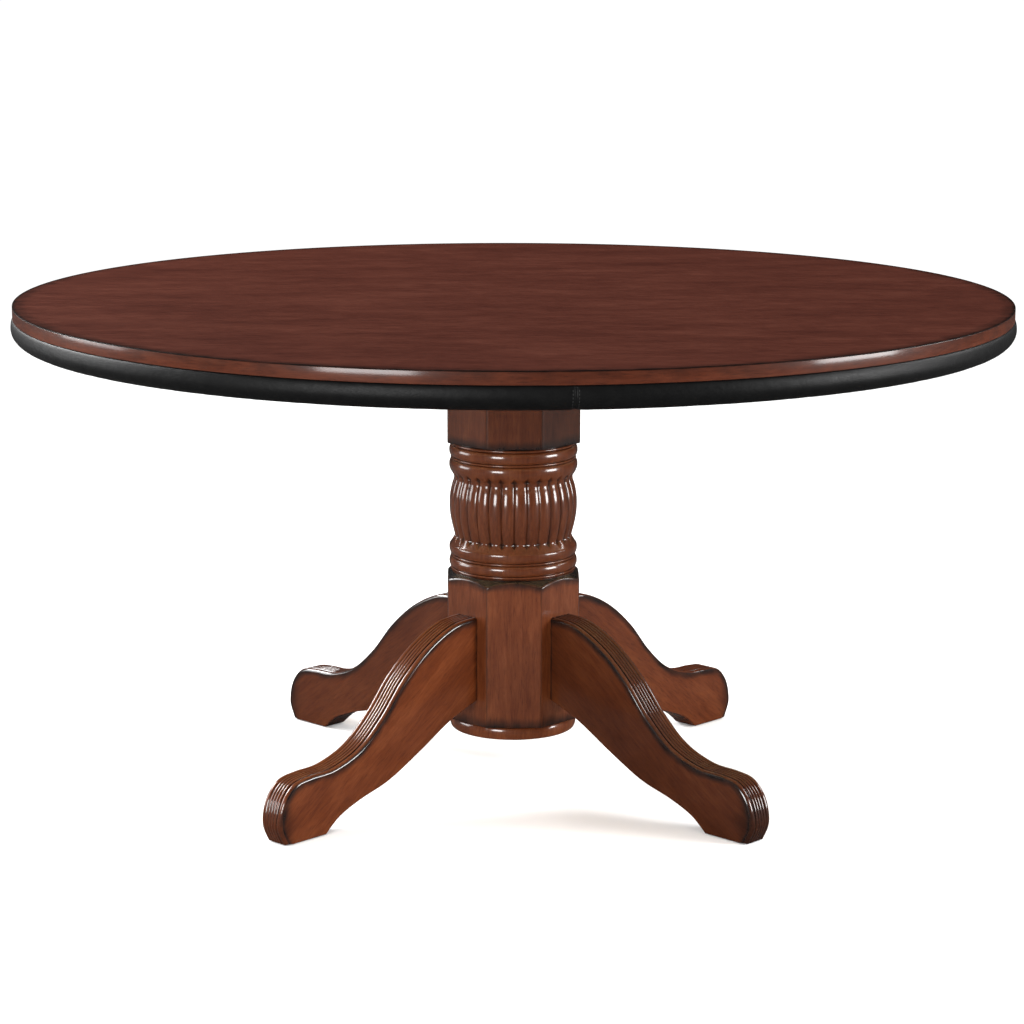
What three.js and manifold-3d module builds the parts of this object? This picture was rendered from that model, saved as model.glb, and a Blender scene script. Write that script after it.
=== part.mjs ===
// Round pedestal gaming table with a lift-off dining top.
// Millimetres, +Z up, origin on the floor at the pedestal's axis.
import * as THREE from "three";
import { mergeVertices } from "three/addons/utils/BufferGeometryUtils.js";
import Module from "manifold-3d";

const wasm = await Module();
wasm.setup();

// ---- driving dimensions ----
const TABLE_HEIGHT = 762;
const ARMREST_RADIUS = 762;
const GAP = 0.3; // clearance between pieces that touch
const RIM_SEGMENTS = 48;

const DINING = { radius: 759, thickness: 19, veneer: 0.8, bandWidth: 16 };
const DINING_UNDERSIDE = TABLE_HEIGHT - DINING.thickness;
const CLEAT = { outer: 616, inner: 594, height: 10, halfAngle: 12, screwRadius: 605 };
const CLEAT_SCREW = { shank: 2, head: 4.5, headHeight: 2.5, bite: 12, clearance: 0.3 };

const DECK = { radius: 738, bottom: 709.5, thickness: 15 };
const DECK_TOP = DECK.bottom + DECK.thickness;
const CLOTH = { radius: 624, thickness: 1, foamRadius: 621, foamThickness: 3 };

const ARMREST = { inner: 625, undersideInner: 705, vinyl: 1.2, coreInner: 642, coreHeight: 12 };
const SHOULDER = { width: 5, height: 14 }; // outer top rounding of the armrest
const ROLL = { width: 24, height: 21 }; // outer face rolling under
const LIP = { width: 15, height: 9 }; // inner top rounding

const BATTEN = { length: 1100, width: 60, height: 22, offset: 150 };
const PLATE = { half: 220, thickness: 22, cornerCut: 40 };
const MOUNTING_BOLT = { radius: 4, headRadius: 7.5, headHeight: 5.3, bite: 8 };

const BLANK_APOTHEM = 102;
const HOLLOW_APOTHEM = 66;
const STAVES = 8;
const REEDS = 30;
const BASE_BEAD = { bottom: 84, top: 105, radius: 98.5, neck: 95 };
const LOWER_BLOCK_TOP = 326;
const UPPER_BLOCK_BOTTOM = 541;
const PLUG_HEIGHT = 50;

const LEG = { thickness: 44.4, footHeight: 1.5, boltHeights: { lower: 182, upper: 238 } };
const LEG_BOLT = { radius: 4, inner: 54, outer: 160 };
const LEG_NUT = { radius: 7.5, height: 6.5 };
const GLIDE = { radius: 12, height: 4, place: 455 };

// ---- heights worked out from the stack ----
const BATTEN_TOP = DECK.bottom - GAP;
const PLATE_TOP = BATTEN_TOP - BATTEN.height - GAP;
const PLATE_BOTTOM = PLATE_TOP - PLATE.thickness;
const PEDESTAL_TOP = PLATE_BOTTOM - GAP;
const ARMREST_TOP = DINING_UNDERSIDE - GAP;
const ARMREST_BOTTOM = ARMREST_TOP - SHOULDER.height - ROLL.height;

// ---- materials ----
const FINISHES = {
  veneer: { color: 0x4f241c, roughness: 0.35, metalness: 0 },
  lipping: { color: 0x5e3020, roughness: 0.3, metalness: 0 },
  stainedWood: { color: 0x5b2f1e, roughness: 0.3, metalness: 0 },
  board: { color: 0xb89668, roughness: 0.8, metalness: 0 },
  plywood: { color: 0xc6a274, roughness: 0.75, metalness: 0 },
  vinyl: { color: 0x121212, roughness: 0.45, metalness: 0 },
  foam: { color: 0xe6dcb8, roughness: 0.95, metalness: 0 },
  cloth: { color: 0x1d5a38, roughness: 0.95, metalness: 0 },
  steel: { color: 0xa8a8a4, roughness: 0.35, metalness: 1 },
  nylon: { color: 0x2a2724, roughness: 0.6, metalness: 0 },
};

const table = new THREE.Group();

function addPiece(name, geometry, finish, parent = table) {
  const mesh = new THREE.Mesh(geometry, new THREE.MeshStandardMaterial(FINISHES[finish]));
  mesh.name = name;
  parent.add(mesh);
  return mesh;
}

// ---- solids and cuts ----
function toSolid(geometry) {
  const bare = geometry.clone();
  bare.deleteAttribute("normal");
  bare.deleteAttribute("uv");
  const merged = mergeVertices(bare, 1e-3);
  const vertProperties = new Float32Array(merged.attributes.position.array);
  const triVerts = new Uint32Array(merged.index.array);
  return new wasm.Manifold(new wasm.Mesh({ numProp: 3, vertProperties, triVerts }));
}

function toGeometry(solid) {
  const mesh = solid.getMesh();
  const geometry = new THREE.BufferGeometry();
  geometry.setAttribute("position", new THREE.BufferAttribute(mesh.vertProperties, 3));
  geometry.setIndex(new THREE.BufferAttribute(mesh.triVerts, 1));
  geometry.computeVertexNormals();
  return geometry;
}

function cut(geometry, cutters) {
  let solid = toSolid(geometry);
  for (const cutter of cutters) solid = solid.subtract(toSolid(cutter));
  return toGeometry(solid);
}

function join(geometries) {
  let solid = toSolid(geometries[0]);
  for (const geometry of geometries.slice(1)) solid = solid.add(toSolid(geometry));
  return toGeometry(solid);
}

// ---- basic shapes, upright ----
function disc(radius, bottom, top, segments = RIM_SEGMENTS) {
  const geometry = new THREE.CylinderGeometry(radius, radius, top - bottom, segments);
  return geometry.rotateX(Math.PI / 2).translate(0, 0, (bottom + top) / 2);
}

function rod(radius, x, y, bottom, top, segments = 10) {
  return disc(radius, bottom, top, segments).translate(x, y, 0);
}

function box(width, depth, bottom, top) {
  return new THREE.BoxGeometry(width, depth, top - bottom).translate(0, 0, (bottom + top) / 2);
}

function prism(corners, bottom, top) {
  const shape = new THREE.Shape(corners);
  const depth = top - bottom;
  return new THREE.ExtrudeGeometry(shape, { depth, bevelEnabled: false }).translate(0, 0, bottom);
}

function octagon(apothem, bottom, top) {
  const corner = apothem / Math.cos(Math.PI / STAVES);
  return disc(corner, bottom, top, STAVES).rotateZ(Math.PI / STAVES);
}

// A profile of [radius, height] pairs spun about the pedestal's axis.
function spin(profile, segments = RIM_SEGMENTS) {
  const points = profile.map(([radius, height]) => new THREE.Vector2(radius, height));
  return new THREE.LatheGeometry(points, segments).rotateX(Math.PI / 2);
}

// A closed ring section, listed anticlockwise with the radius to the right.
function ring(section, segments = RIM_SEGMENTS) {
  return spin([...section, section[0]], segments);
}

// Points on a quarter ellipse about [centreRadius, centreHeight], from one angle to another, in degrees.
function quarter([centreRadius, centreHeight], { width, height }, from, to, steps) {
  return Array.from({ length: steps + 1 }, (_, i) => {
    const angle = THREE.MathUtils.degToRad(from + ((to - from) * i) / steps);
    return [centreRadius + width * Math.cos(angle), centreHeight + height * Math.sin(angle)];
  });
}

// ---- dining top: core, lipping, face veneer, locating cleats ----
const diningTop = new THREE.Group();
table.add(diningTop);

const CLEAT_ANGLES = [0, 90, 180, 270];
const coreTop = TABLE_HEIGHT - DINING.veneer - GAP;
const coreRadius = DINING.radius - DINING.bandWidth;
const cleatTop = DINING_UNDERSIDE - GAP;
const cleatBottom = cleatTop - CLEAT.height;
const screwHole = CLEAT_SCREW.shank + CLEAT_SCREW.clearance;
const screwTip = DINING_UNDERSIDE + CLEAT_SCREW.bite;

function atAngle(radius, degrees) {
  const angle = THREE.MathUtils.degToRad(degrees);
  return [radius * Math.cos(angle), radius * Math.sin(angle)];
}

const corePilots = CLEAT_ANGLES.map((degrees) => {
  const [x, y] = atAngle(CLEAT.screwRadius, degrees);
  return rod(screwHole, x, y, DINING_UNDERSIDE - 1, screwTip + GAP, 8);
});
const coreDisc = disc(coreRadius, DINING_UNDERSIDE, coreTop);
addPiece("dining_top_core", cut(coreDisc, corePilots), "board", diningTop);
const veneerDisc = disc(DINING.radius, TABLE_HEIGHT - DINING.veneer, TABLE_HEIGHT);
addPiece("dining_top_veneer", veneerDisc, "veneer", diningTop);
const bandSection = [
  [coreRadius + GAP, DINING_UNDERSIDE],
  [DINING.radius, DINING_UNDERSIDE],
  [DINING.radius, coreTop],
  [coreRadius + GAP, coreTop],
];
addPiece("dining_top_edge_band", ring(bandSection), "lipping", diningTop);

function cleat() {
  const sweep = THREE.MathUtils.degToRad(CLEAT.halfAngle);
  const shape = new THREE.Shape();
  shape.absarc(0, 0, CLEAT.outer, -sweep, sweep, false);
  shape.absarc(0, 0, CLEAT.inner, sweep, -sweep, true);
  const options = { depth: CLEAT.height, bevelEnabled: false, curveSegments: 3 };
  const block = new THREE.ExtrudeGeometry(shape, options).translate(0, 0, cleatBottom);
  const headRoom = CLEAT_SCREW.headHeight + GAP;
  return cut(block, [
    rod(screwHole, CLEAT.screwRadius, 0, cleatBottom - 1, cleatTop + 1, 8),
    rod(CLEAT_SCREW.head + GAP, CLEAT.screwRadius, 0, cleatBottom - 1, cleatBottom + headRoom, 8),
  ]);
}

function cleatScrew() {
  const headTop = cleatBottom + CLEAT_SCREW.headHeight;
  const profile = [
    [0, cleatBottom],
    [CLEAT_SCREW.head, cleatBottom],
    [CLEAT_SCREW.head, headTop],
    [CLEAT_SCREW.shank, headTop],
    [CLEAT_SCREW.shank, screwTip - 3],
    [0, screwTip],
  ];
  return spin(profile, 8).translate(CLEAT.screwRadius, 0, 0);
}

CLEAT_ANGLES.forEach((degrees, i) => {
  const angle = THREE.MathUtils.degToRad(degrees);
  addPiece(`locating_cleat_${i + 1}`, cleat(), "plywood", diningTop).rotation.z = angle;
  addPiece(`cleat_screw_${i + 1}`, cleatScrew(), "steel", diningTop).rotation.z = angle;
});

// ---- gaming top: deck, playing surface, padded armrest ----
const BOLT_PLACES = [1, -1].flatMap((x) => [1, -1].map((y) => [x * BATTEN.offset, y * BATTEN.offset]));
const boltTip = DECK.bottom + MOUNTING_BOLT.bite;

function boltHoles(top) {
  const radius = MOUNTING_BOLT.radius + GAP;
  return BOLT_PLACES.map(([x, y]) => rod(radius, x, y, PLATE_BOTTOM - 1, top, 8));
}

const deckDisc = disc(DECK.radius, DECK.bottom, DECK_TOP);
addPiece("game_top_deck", cut(deckDisc, boltHoles(boltTip + GAP)), "board");
const playFoamBottom = DECK_TOP + GAP;
const playFoamTop = playFoamBottom + CLOTH.foamThickness;
const clothBottom = playFoamTop + GAP;
addPiece("playing_foam", disc(CLOTH.foamRadius, playFoamBottom, playFoamTop), "foam");
addPiece("playing_cloth", disc(CLOTH.radius, clothBottom, clothBottom + CLOTH.thickness), "cloth");

const armrestCoreTop = DECK_TOP + GAP + ARMREST.coreHeight;
const armrestCoreSection = [
  [ARMREST.coreInner, DECK_TOP + GAP],
  [DECK.radius, DECK_TOP + GAP],
  [DECK.radius, armrestCoreTop],
  [ARMREST.coreInner, armrestCoreTop],
];
addPiece("armrest_core", ring(armrestCoreSection), "plywood");

// The armrest's outside, from its underside round the outer face to the cloth, pulled in by inset.
function armrestFace(inset) {
  const widest = ARMREST_TOP - SHOULDER.height;
  const shrink = ({ width, height }) => ({ width: width - inset, height: height - inset });
  const roll = [ARMREST_RADIUS - ROLL.width, widest];
  const shoulder = [ARMREST_RADIUS - SHOULDER.width, widest];
  const lip = [ARMREST.inner + LIP.width, ARMREST_TOP - LIP.height];
  return [
    ...quarter(roll, shrink(ROLL), -90, 0, 3),
    ...quarter(shoulder, shrink(SHOULDER), 0, 90, 2).slice(1),
    ...quarter(lip, shrink(LIP), 90, 180, 2),
    [ARMREST.inner + inset, DECK_TOP + GAP],
  ];
}

const foamInset = ARMREST.vinyl + GAP;
const armrestFoamSection = [
  ...armrestFace(foamInset),
  [ARMREST.coreInner - GAP, DECK_TOP + GAP],
  [ARMREST.coreInner - GAP, armrestCoreTop + GAP],
  [DECK.radius + GAP, armrestCoreTop + GAP],
  [DECK.radius + GAP, ARMREST_BOTTOM + foamInset],
];
addPiece("armrest_foam", ring(armrestFoamSection), "foam");

const vinylSection = [
  [ARMREST.undersideInner, ARMREST_BOTTOM],
  ...armrestFace(0),
  ...armrestFace(ARMREST.vinyl).reverse(),
  [ARMREST.undersideInner, ARMREST_BOTTOM + ARMREST.vinyl],
];
addPiece("armrest_vinyl", ring(vinylSection), "vinyl");

// ---- under the deck: battens, mounting plate, bolts ----
for (const [name, side] of [["front", -1], ["rear", 1]]) {
  const bar = box(BATTEN.length, BATTEN.width, BATTEN_TOP - BATTEN.height, BATTEN_TOP);
  const placed = bar.translate(0, side * BATTEN.offset, 0);
  addPiece(`deck_batten_${name}`, cut(placed, boltHoles(BATTEN_TOP + 1)), "plywood");
}

function mountingPlate() {
  const { half, cornerCut } = PLATE;
  const inner = half - cornerCut;
  const corners = [
    [half, -inner], [half, inner], [inner, half], [-inner, half],
    [-half, inner], [-half, -inner], [-inner, -half], [inner, -half],
  ].map(([x, y]) => new THREE.Vector2(x, y));
  return cut(prism(corners, PLATE_BOTTOM, PLATE_TOP), boltHoles(PLATE_TOP + 1));
}
addPiece("mounting_plate", mountingPlate(), "plywood");

function hexBolt(x, y) {
  const headTop = PLATE_BOTTOM - GAP;
  const headBottom = headTop - MOUNTING_BOLT.headHeight;
  const shank = rod(MOUNTING_BOLT.radius, x, y, headBottom + 1, boltTip, 8);
  return join([shank, rod(MOUNTING_BOLT.headRadius, x, y, headBottom, headTop, 6)]);
}
BOLT_PLACES.forEach(([x, y], i) => addPiece(`mounting_bolt_${i + 1}`, hexBolt(x, y), "steel"));

// ---- pedestal: eight glued staves, turned and reeded ----
// Beads, neck and vase between the two octagonal blocks, from bottom to top.
const TURNED_PROFILE = [
  [95, 334], [98.7, 341], [98.9, 350], [94.5, 355.5], [99, 362], [98.8, 371], [90, 386],
  [94.5, 400], [98.4, 425], [98.4, 447], [94.5, 467.5], [90.8, 479],
  [98, 497], [98.4, 507.5], [94, 512.8], [98.4, 518], [98.4, 527.5], [94, 533],
];
const VASE = { bottom: 386, top: 479, groove: 3.4 };

// Presses a groove into every second meridian of the vase, deepest at its middle.
function pressReeds(geometry) {
  const position = geometry.attributes.position;
  for (let i = 0; i < position.count; i += 1) {
    const along = (position.getZ(i) - VASE.bottom) / (VASE.top - VASE.bottom);
    const step = Math.round((Math.atan2(position.getY(i), position.getX(i)) * REEDS) / Math.PI);
    if (along > 0 && along < 1 && step % 2 !== 0) {
      const radius = Math.hypot(position.getX(i), position.getY(i));
      const scale = 1 - (VASE.groove * Math.sqrt(Math.sin(Math.PI * along))) / radius;
      position.setXYZ(i, position.getX(i) * scale, position.getY(i) * scale, position.getZ(i));
    }
  }
  return geometry;
}

function turnedMiddle() {
  const buried = 10;
  const profile = [
    [0, LOWER_BLOCK_TOP - buried],
    [95, LOWER_BLOCK_TOP - buried],
    ...TURNED_PROFILE,
    [94, UPPER_BLOCK_BOTTOM + buried],
    [0, UPPER_BLOCK_BOTTOM + buried],
  ];
  return pressReeds(spin(profile, 2 * REEDS));
}

function baseBead() {
  const { bottom, top, radius, neck } = BASE_BEAD;
  const middle = (bottom + top) / 2;
  const profile = [
    [0, bottom], [neck, bottom], [radius - 0.8, middle - 6], [radius, middle],
    [radius - 0.8, middle + 5], [neck, top - 2], [neck, top + 10], [0, top + 10],
  ];
  return spin(profile, 40);
}

const blank = toSolid(
  cut(
    join([
      octagon(BLANK_APOTHEM, BASE_BEAD.top, LOWER_BLOCK_TOP),
      octagon(BLANK_APOTHEM, UPPER_BLOCK_BOTTOM, PEDESTAL_TOP),
      turnedMiddle(),
      baseBead(),
    ]),
    [octagon(HOLLOW_APOTHEM, BASE_BEAD.bottom - 1, PEDESTAL_TOP + 1)],
  ),
);

// A rod lying along +X, from one radius to another, at a height.
function radialRod(radius, from, to, height, segments = 10) {
  const geometry = new THREE.CylinderGeometry(radius, radius, to - from, segments);
  return geometry.rotateZ(Math.PI / 2).translate((from + to) / 2, 0, height);
}

function legBoltHoles() {
  const radius = LEG_BOLT.radius + GAP;
  const heights = Object.values(LEG.boltHeights);
  return heights.map((height) => radialRod(radius, LEG_BOLT.inner - 1, LEG_BOLT.outer + GAP, height, 8));
}

function stave(index) {
  const half = Math.PI / STAVES;
  const reach = 2 * BLANK_APOTHEM;
  const apex = GAP / 2 / Math.sin(half);
  const corners = [-half, half].map(
    (angle) => new THREE.Vector2(apex + reach * Math.cos(angle), reach * Math.sin(angle)),
  );
  const wedge = prism([new THREE.Vector2(apex, 0), ...corners], BASE_BEAD.bottom - 1, PEDESTAL_TOP + 1);
  const angle = index * 2 * half;
  let solid = blank.intersect(toSolid(wedge.rotateZ(angle)));
  const carriesLeg = index % 2 === 1;
  if (carriesLeg) {
    for (const hole of legBoltHoles()) solid = solid.subtract(toSolid(hole.rotateZ(angle)));
  }
  return toGeometry(solid);
}

for (let index = 0; index < STAVES; index += 1) {
  addPiece(`pedestal_stave_${index + 1}`, stave(index), "stainedWood");
}
const plugApothem = HOLLOW_APOTHEM - GAP;
addPiece("pedestal_top_plug", octagon(plugApothem, PEDESTAL_TOP - PLUG_HEIGHT, PEDESTAL_TOP), "plywood");

// ---- legs ----
// Side outline of a leg as [radius from the axis, height], crest first and underside second.
const LEG_CREST = [
  [BLANK_APOTHEM + GAP, 277], [150, 272], [205, 246], [256, 205], [300, 156], [346, 118],
  [398, 99], [444, 96], [474, 91], [494, 74], [505, 50], [507, 26], [496, LEG.footHeight],
];
const LEG_UNDERSIDE = [
  [BLANK_APOTHEM + GAP, 146], [160, 124], [230, 86], [290, 57], [348, 40], [390, 23],
  [418, LEG.footHeight],
];
const FOOT_TIP = 482;
// Half of the reeded crest as [distance from the middle, depth below the crest].
const REED_SECTION = [
  [0, 1.7], [2.9, 0], [5.8, 1.7], [8.7, 0], [11.6, 2.2], [16.6, 0], [22.2, 4],
];
const CREST_STEPS = 24;
const UNDERSIDE_STEPS = 16;

function planeCurve(points) {
  return new THREE.SplineCurve(points.map(([radius, height]) => new THREE.Vector2(radius, height)));
}

// One cross-section of the leg for each step from the pedestal to the toe, as loops of points.
function legLoops() {
  const crest = planeCurve(LEG_CREST);
  const foot = new THREE.Vector2(FOOT_TIP, LEG.footHeight);
  const underside = planeCurve(LEG_UNDERSIDE).getPoints(UNDERSIDE_STEPS);
  const heel = underside[UNDERSIDE_STEPS];
  for (let i = 1; i <= CREST_STEPS - UNDERSIDE_STEPS; i += 1) {
    underside.push(heel.clone().lerp(foot, i / (CREST_STEPS - UNDERSIDE_STEPS)));
  }
  const mirrored = REED_SECTION.slice(1).reverse().map(([v, depth]) => [-v, depth]);
  const across = [...mirrored, ...REED_SECTION];
  const side = LEG.thickness / 2;
  return underside.map((low, i) => {
    const top = crest.getPoint(i / CREST_STEPS);
    const tangent = crest.getTangent(i / CREST_STEPS);
    const squareEnd = new THREE.Vector2(0, -1);
    const inward = i === 0 ? squareEnd : new THREE.Vector2(tangent.y, -tangent.x);
    const bottom = [new THREE.Vector3(low.x, side, low.y), new THREE.Vector3(low.x, -side, low.y)];
    const reeded = across.map(([v, depth]) => {
      const point = top.clone().addScaledVector(inward, depth);
      return new THREE.Vector3(point.x, v, point.y);
    });
    return [...bottom, ...reeded];
  });
}

// Closes a run of equal loops into one solid, with a fan at each end.
function loft(loops) {
  const count = loops[0].length;
  const index = [];
  for (let i = 0; i + 1 < loops.length; i += 1) {
    for (let j = 0; j < count; j += 1) {
      const [a, b] = [i * count + j, i * count + ((j + 1) % count)];
      index.push(a, b + count, b, a, a + count, b + count);
    }
  }
  const last = (loops.length - 1) * count;
  for (let j = 1; j + 1 < count; j += 1) {
    index.push(0, j, j + 1, last, last + j + 1, last + j);
  }
  const geometry = new THREE.BufferGeometry().setFromPoints(loops.flat());
  geometry.setIndex(index);
  return geometry;
}

function legShape() {
  const recess = rod(GLIDE.radius + 2 * GAP, GLIDE.place, 0, -1, GLIDE.height + GAP, 12);
  return cut(loft(legLoops()), [...legBoltHoles(), recess]);
}

function hexNut(height) {
  const corners = [0, 60, 120, 180, 240, 300].map((degrees) => atAngle(LEG_NUT.radius, degrees));
  const hex = new THREE.Shape(corners.map(([x, y]) => new THREE.Vector2(x, y)));
  const bore = new THREE.Path().absarc(0, 0, LEG_BOLT.radius + GAP, 0, 2 * Math.PI, true);
  hex.holes.push(bore);
  const options = { depth: LEG_NUT.height, bevelEnabled: false, curveSegments: 5 };
  const outerFace = HOLLOW_APOTHEM - GAP;
  const nut = new THREE.ExtrudeGeometry(hex, options).rotateY(Math.PI / 2);
  return nut.translate(outerFace - LEG_NUT.height, 0, height);
}

const LEG_PLACES = { rear_right: 45, rear_left: 135, front_left: 225, front_right: 315 };
for (const [place, degrees] of Object.entries(LEG_PLACES)) {
  const legGroup = new THREE.Group();
  legGroup.rotation.z = THREE.MathUtils.degToRad(degrees);
  table.add(legGroup);
  addPiece(`leg_${place}`, legShape(), "stainedWood", legGroup);
  const glide = rod(GLIDE.radius, GLIDE.place, 0, 0, GLIDE.height, 12);
  addPiece(`foot_glide_${place}`, glide, "nylon", legGroup);
  for (const [level, height] of Object.entries(LEG.boltHeights)) {
    const bolt = radialRod(LEG_BOLT.radius, LEG_BOLT.inner, LEG_BOLT.outer, height, 8);
    addPiece(`leg_bolt_${place}_${level}`, bolt, "steel", legGroup);
    addPiece(`leg_nut_${place}_${level}`, hexNut(height), "steel", legGroup);
  }
}

export default table;
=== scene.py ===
# Looks of the round pedestal gaming table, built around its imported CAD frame. Metres, +Z up.
import math

import bmesh
import bpy
import numpy as np
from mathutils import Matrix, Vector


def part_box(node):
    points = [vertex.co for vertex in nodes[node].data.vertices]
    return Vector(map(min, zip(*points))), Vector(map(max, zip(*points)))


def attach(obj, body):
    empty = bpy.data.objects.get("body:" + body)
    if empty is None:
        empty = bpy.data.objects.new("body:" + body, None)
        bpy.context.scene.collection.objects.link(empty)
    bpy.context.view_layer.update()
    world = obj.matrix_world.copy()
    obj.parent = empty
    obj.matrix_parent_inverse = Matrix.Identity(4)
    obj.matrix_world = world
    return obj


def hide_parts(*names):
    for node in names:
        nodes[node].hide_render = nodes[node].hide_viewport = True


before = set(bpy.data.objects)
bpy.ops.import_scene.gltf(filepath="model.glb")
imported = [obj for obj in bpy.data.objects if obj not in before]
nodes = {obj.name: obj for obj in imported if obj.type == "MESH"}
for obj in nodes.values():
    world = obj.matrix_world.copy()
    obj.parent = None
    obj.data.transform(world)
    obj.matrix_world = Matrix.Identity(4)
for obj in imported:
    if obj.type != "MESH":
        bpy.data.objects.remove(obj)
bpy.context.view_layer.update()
MM = 0.001
BASE, TOP = "base_table", "dining_top"


# ---- camera, lights, floor ----
CAMERA_PLACE = (-0.0689, -4.479, 1.3294)
CAMERA_PITCH, CAMERA_ROLL, CAMERA_YAW = -0.19925, -0.00197, -0.01455  # radians from level, along +Y
CAMERA_LENS, CAMERA_SENSOR = 103.29, 36
SEEN_DISTANCE = 200
LAMP_AIM = 0.4  # height on the pedestal's axis that the softboxes face
ROOM_LIGHT, MIRRORED_ROOM = 1.1, 0.05  # the room's strength as it lights things and as they mirror it
MIRRORED_FLOOR = 0.06
FLOOR_WIDTH = 160


def put(name, data):
    """A new object in the scene."""
    made = bpy.data.objects.new(name, data)
    bpy.context.scene.collection.objects.link(made)
    return made


def add_camera():
    data = bpy.data.cameras.new("camera")
    data.lens = CAMERA_LENS
    data.sensor_width = CAMERA_SENSOR
    data.clip_end = SEEN_DISTANCE
    camera = put("camera", data)
    camera.location = CAMERA_PLACE
    camera.rotation_euler = (math.pi / 2 + CAMERA_PITCH, CAMERA_ROLL, CAMERA_YAW)
    bpy.context.scene.camera = camera


def softbox(name, bearing, distance, middle, size, radiance):
    """A soft lamp facing the pedestal, its bearing in degrees to the right of straight in front."""
    data = bpy.data.lights.new(name, "AREA")
    data.shape = "RECTANGLE"
    data.size, data.size_y = size
    data.energy = radiance * math.pi * size[0] * size[1]
    light = put(name, data)
    turn = math.radians(bearing)
    light.location = (distance * math.sin(turn), -distance * math.cos(turn), middle)
    light.rotation_euler = (math.atan2(distance, middle - LAMP_AIM), 0, turn)
    light.visible_camera = False


def add_lights():
    softbox("left_softbox", -99, 3.8, 1.3, (1.6, 1.7), 10)
    softbox("left_high_softbox", -117, 3.4, 2.35, (1.6, 0.8), 44)
    softbox("front_softbox", -29, 3.4, 1.0, (1.15, 1.0), 25)
    softbox("right_softbox", 71, 3.2, 1.0, (1.2, 1.0), 29)
    softbox("right_high_softbox", 102, 3.0, 2.0, (0.9, 0.8), 20)


def add_world():
    """A white room that lights the table evenly, seen white by the camera and dim in mirror reflections."""
    world = bpy.data.worlds.new("studio")
    bpy.context.scene.world = world
    world.use_nodes = True
    tree = world.node_tree
    tree.nodes.clear()
    output = tree.nodes.new("ShaderNodeOutputWorld")
    seen, lit, mirrored = (tree.nodes.new("ShaderNodeBackground") for _ in range(3))
    for white in (seen, lit):
        white.inputs["Color"].default_value = (1, 1, 1, 1)
    lit.inputs["Strength"].default_value = ROOM_LIGHT
    mirrored.inputs["Strength"].default_value = MIRRORED_ROOM
    ray = tree.nodes.new("ShaderNodeLightPath")
    gloss, direct = (tree.nodes.new("ShaderNodeMixShader") for _ in range(2))
    tree.links.new(ray.outputs["Is Glossy Ray"], gloss.inputs[0])
    tree.links.new(lit.outputs[0], gloss.inputs[1])
    tree.links.new(mirrored.outputs[0], gloss.inputs[2])
    tree.links.new(ray.outputs["Is Camera Ray"], direct.inputs[0])
    tree.links.new(gloss.outputs[0], direct.inputs[1])
    tree.links.new(seen.outputs[0], direct.inputs[2])
    tree.links.new(direct.outputs[0], output.inputs[0])


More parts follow.
